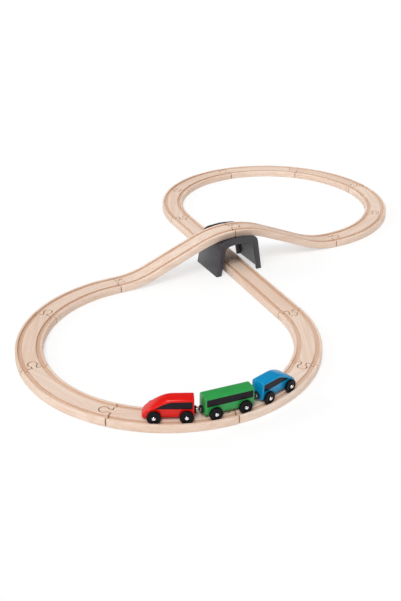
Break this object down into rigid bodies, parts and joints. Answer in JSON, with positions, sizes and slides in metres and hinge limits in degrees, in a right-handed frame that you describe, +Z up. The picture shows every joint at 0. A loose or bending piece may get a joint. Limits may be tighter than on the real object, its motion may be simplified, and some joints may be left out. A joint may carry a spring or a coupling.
{
  "type": "wooden toy train",
  "caption": "Wooden toy train with magnetic couplers on a figure-of-eight of grooved beech track with knob-and-socket ends, ramps and a bridge support.",
  "frame": {"origin": "on the floor under the crossing, the middle of the layout", "axes": "+Z up, +Y along the layout from the loop with the train to the other loop, +X to the right seen from the train's side"},
  "size_m": [0.444, 1.0268, 0.071],
  "materials": {
    "beech": "satin clear lacquer",
    "grey_plastic": "matte moulded",
    "red_paint": "gloss paint on wood",
    "green_paint": "gloss paint on wood",
    "blue_paint": "gloss paint on wood",
    "wheel_plastic": "semi-gloss",
    "black_plastic": "satin",
    "steel": "polished",
    "magnet": "nickel plated"
  },
  "bodies": {
    "layout": {"straight_near": "beech", "curve_near_1": "beech", "curve_near_2": "beech", "curve_near_3": "beech", "curve_near_4": "beech", "curve_near_5": "beech", "curve_near_6": "beech", "ramp_rising": "beech", "ramp_falling": "beech", "curve_far_1": "beech", "curve_far_2": "beech", "curve_far_3": "beech", "curve_far_4": "beech", "curve_far_5": "beech", "curve_far_6": "beech", "straight_far": "beech", "bridge_support": "grey_plastic"},
    "engine": {"engine_body": "red_paint", "engine_axle_front": "steel", "engine_axle_rear": "steel", "engine_coupler_rear": "black_plastic", "engine_magnet_rear": "magnet"},
    "wagon": {"wagon_body": "green_paint", "wagon_axle_front": "steel", "wagon_axle_rear": "steel", "wagon_coupler_front": "black_plastic", "wagon_magnet_front": "magnet", "wagon_coupler_rear": "black_plastic", "wagon_magnet_rear": "magnet"},
    "tail": {"tail_body": "blue_paint", "tail_axle_front": "steel", "tail_axle_rear": "steel", "tail_coupler_front": "black_plastic", "tail_magnet_front": "magnet"},
    "engine_wheel_front_inner": {"engine_wheel_front_inner": "wheel_plastic"},
    "engine_wheel_front_outer": {"engine_wheel_front_outer": "wheel_plastic"},
    "engine_wheel_rear_inner": {"engine_wheel_rear_inner": "wheel_plastic"},
    "engine_wheel_rear_outer": {"engine_wheel_rear_outer": "wheel_plastic"},
    "wagon_wheel_front_inner": {"wagon_wheel_front_inner": "wheel_plastic"},
    "wagon_wheel_front_outer": {"wagon_wheel_front_outer": "wheel_plastic"},
    "wagon_wheel_rear_inner": {"wagon_wheel_rear_inner": "wheel_plastic"},
    "wagon_wheel_rear_outer": {"wagon_wheel_rear_outer": "wheel_plastic"},
    "tail_wheel_front_inner": {"tail_wheel_front_inner": "wheel_plastic"},
    "tail_wheel_front_outer": {"tail_wheel_front_outer": "wheel_plastic"},
    "tail_wheel_rear_inner": {"tail_wheel_rear_inner": "wheel_plastic"},
    "tail_wheel_rear_outer": {"tail_wheel_rear_outer": "wheel_plastic"}
  },
  "joints": [
    {"name": "engine_run", "type": "hinge", "parent": "layout", "child": "engine", "pos_m": [0, -0.29138, 0], "axis": [0, 0, 1], "range_deg": [-140, 55]},
    {"name": "wagon_run", "type": "hinge", "parent": "layout", "child": "wagon", "pos_m": [0, -0.29138, 0], "axis": [0, 0, 1], "range_deg": [-140, 55]},
    {"name": "tail_run", "type": "hinge", "parent": "layout", "child": "tail", "pos_m": [0, -0.29138, 0], "axis": [0, 0, 1], "range_deg": [-140, 55]},
    {"name": "engine_wheel_front_inner_roll", "type": "hinge", "parent": "engine", "child": "engine_wheel_front_inner", "pos_m": [0.04984, -0.47377, 0.0185], "axis": [0.3667, -0.9304, 0], "continuous": true},
    {"name": "engine_wheel_front_outer_roll", "type": "hinge", "parent": "engine", "child": "engine_wheel_front_outer", "pos_m": [0.05938, -0.49796, 0.0185], "axis": [0.3667, -0.9304, 0], "continuous": true},
    {"name": "engine_wheel_rear_inner_roll", "type": "hinge", "parent": "engine", "child": "engine_wheel_rear_inner", "pos_m": [0.08799, -0.45873, 0.0185], "axis": [0.3667, -0.9304, 0], "continuous": true},
    {"name": "engine_wheel_rear_outer_roll", "type": "hinge", "parent": "engine", "child": "engine_wheel_rear_outer", "pos_m": [0.09752, -0.48292, 0.0185], "axis": [0.3667, -0.9304, 0], "continuous": true},
    {"name": "wagon_wheel_front_inner_roll", "type": "hinge", "parent": "wagon", "child": "wagon_wheel_front_inner", "pos_m": [0.11187, -0.44381, 0.0185], "axis": [0.6756, -0.7373, 0], "continuous": true},
    {"name": "wagon_wheel_front_outer_roll", "type": "hinge", "parent": "wagon", "child": "wagon_wheel_front_outer", "pos_m": [0.12943, -0.46298, 0.0185], "axis": [0.6756, -0.7373, 0], "continuous": true},
    {"name": "wagon_wheel_rear_inner_roll", "type": "hinge", "parent": "wagon", "child": "wagon_wheel_rear_inner", "pos_m": [0.1421, -0.41611, 0.0185], "axis": [0.6756, -0.7373, 0], "continuous": true},
    {"name": "wagon_wheel_rear_outer_roll", "type": "hinge", "parent": "wagon", "child": "wagon_wheel_rear_outer", "pos_m": [0.15966, -0.43528, 0.0185], "axis": [0.6756, -0.7373, 0], "continuous": true},
    {"name": "tail_wheel_front_inner_roll", "type": "hinge", "parent": "tail", "child": "tail_wheel_front_inner", "pos_m": [0.15904, -0.39362, 0.0185], "axis": [0.8949, -0.4463, 0], "continuous": true},
    {"name": "tail_wheel_front_outer_roll", "type": "hinge", "parent": "tail", "child": "tail_wheel_front_outer", "pos_m": [0.18231, -0.40523, 0.0185], "axis": [0.8949, -0.4463, 0], "continuous": true},
    {"name": "tail_wheel_rear_inner_roll", "type": "hinge", "parent": "tail", "child": "tail_wheel_rear_inner", "pos_m": [0.17735, -0.35693, 0.0185], "axis": [0.8949, -0.4463, 0], "continuous": true},
    {"name": "tail_wheel_rear_outer_roll", "type": "hinge", "parent": "tail", "child": "tail_wheel_rear_outer", "pos_m": [0.20061, -0.36854, 0.0185], "axis": [0.8949, -0.4463, 0], "continuous": true}
  ],
  "couplings": [
    {"joint": "wagon_run", "follows": "engine_run", "ratio": 1},
    {"joint": "tail_run", "follows": "engine_run", "ratio": 1},
    {"joint": "engine_wheel_front_inner_roll", "follows": "engine_run", "ratio": -20.43},
    {"joint": "engine_wheel_front_outer_roll", "follows": "engine_run", "ratio": -23.256},
    {"joint": "engine_wheel_rear_inner_roll", "follows": "engine_run", "ratio": -20.43},
    {"joint": "engine_wheel_rear_outer_roll", "follows": "engine_run", "ratio": -23.256},
    {"joint": "wagon_wheel_front_inner_roll", "follows": "engine_run", "ratio": -20.43},
    {"joint": "wagon_wheel_front_outer_roll", "follows": "engine_run", "ratio": -23.256},
    {"joint": "wagon_wheel_rear_inner_roll", "follows": "engine_run", "ratio": -20.43},
    {"joint": "wagon_wheel_rear_outer_roll", "follows": "engine_run", "ratio": -23.256},
    {"joint": "tail_wheel_front_inner_roll", "follows": "engine_run", "ratio": -20.43},
    {"joint": "tail_wheel_front_outer_roll", "follows": "engine_run", "ratio": -23.256},
    {"joint": "tail_wheel_rear_inner_roll", "follows": "engine_run", "ratio": -20.43},
    {"joint": "tail_wheel_rear_outer_roll", "follows": "engine_run", "ratio": -23.256}
  ]
}
